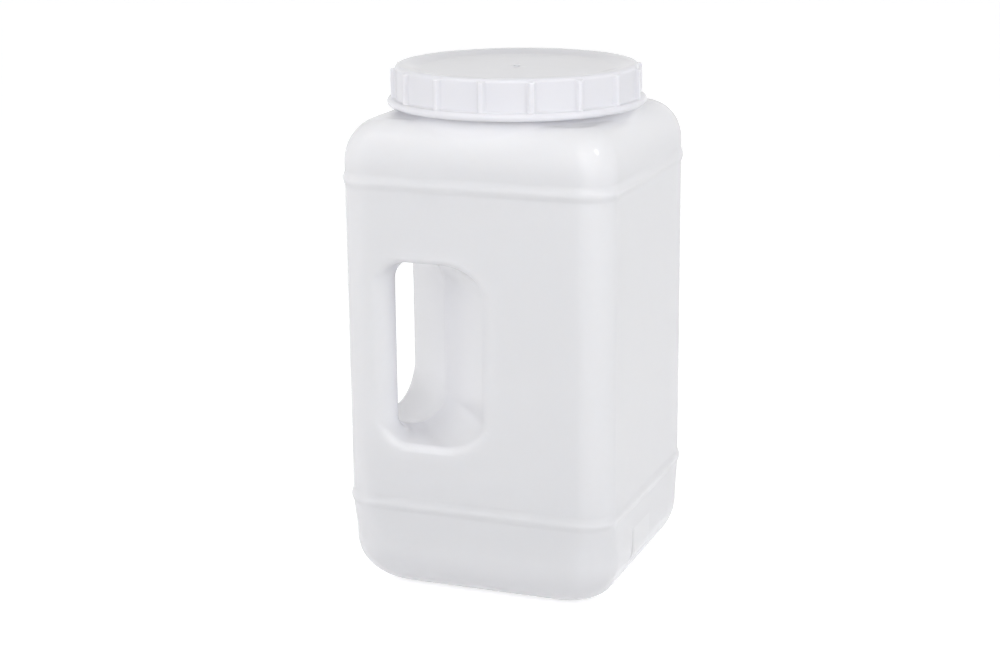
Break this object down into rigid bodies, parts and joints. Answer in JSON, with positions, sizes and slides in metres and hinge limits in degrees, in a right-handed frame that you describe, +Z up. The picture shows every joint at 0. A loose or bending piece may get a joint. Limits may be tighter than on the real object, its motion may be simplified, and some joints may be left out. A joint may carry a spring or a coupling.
{
  "type": "wide-mouth plastic jar",
  "caption": "Tall square blow-moulded jar with rounded corners, a hand grip through one corner, a raised bead round the shoulder and the foot, and a ribbed screw lid.",
  "frame": {"origin": "centre of the base, on the ground", "axes": "+Z up the jar, -Y out of the front face, +X to the jar's right seen from the front; the grip column is the corner at -X, -Y"},
  "size_m": [0.1414, 0.1354, 0.2621],
  "materials": {
    "natural_polyethylene": "milky translucent blown polyethylene with a soft satin surface",
    "white_polyethylene": "whiter moulded polyethylene, satin",
    "sealing_foam": "smooth closed-cell foam"
  },
  "bodies": {
    "jar": {"jar_body": "natural_polyethylene"},
    "seal": {"sealing_ring": "sealing_foam"},
    "lid": {"screw_lid": "white_polyethylene"}
  },
  "joints": [
    {"name": "lid_lift", "type": "slide", "parent": "jar", "child": "seal", "axis": [0, 0, 1], "range_m": [0, 0.024]},
    {"name": "lid_turn", "type": "hinge", "parent": "seal", "child": "lid", "pos_m": [0, 0, 0.2421], "axis": [0, 0, 1], "range_deg": [0, 1440]}
  ],
  "couplings": [
    {"joint": "lid_lift", "follows": "lid_turn", "m_per_rad": 0.00095493}
  ]
}
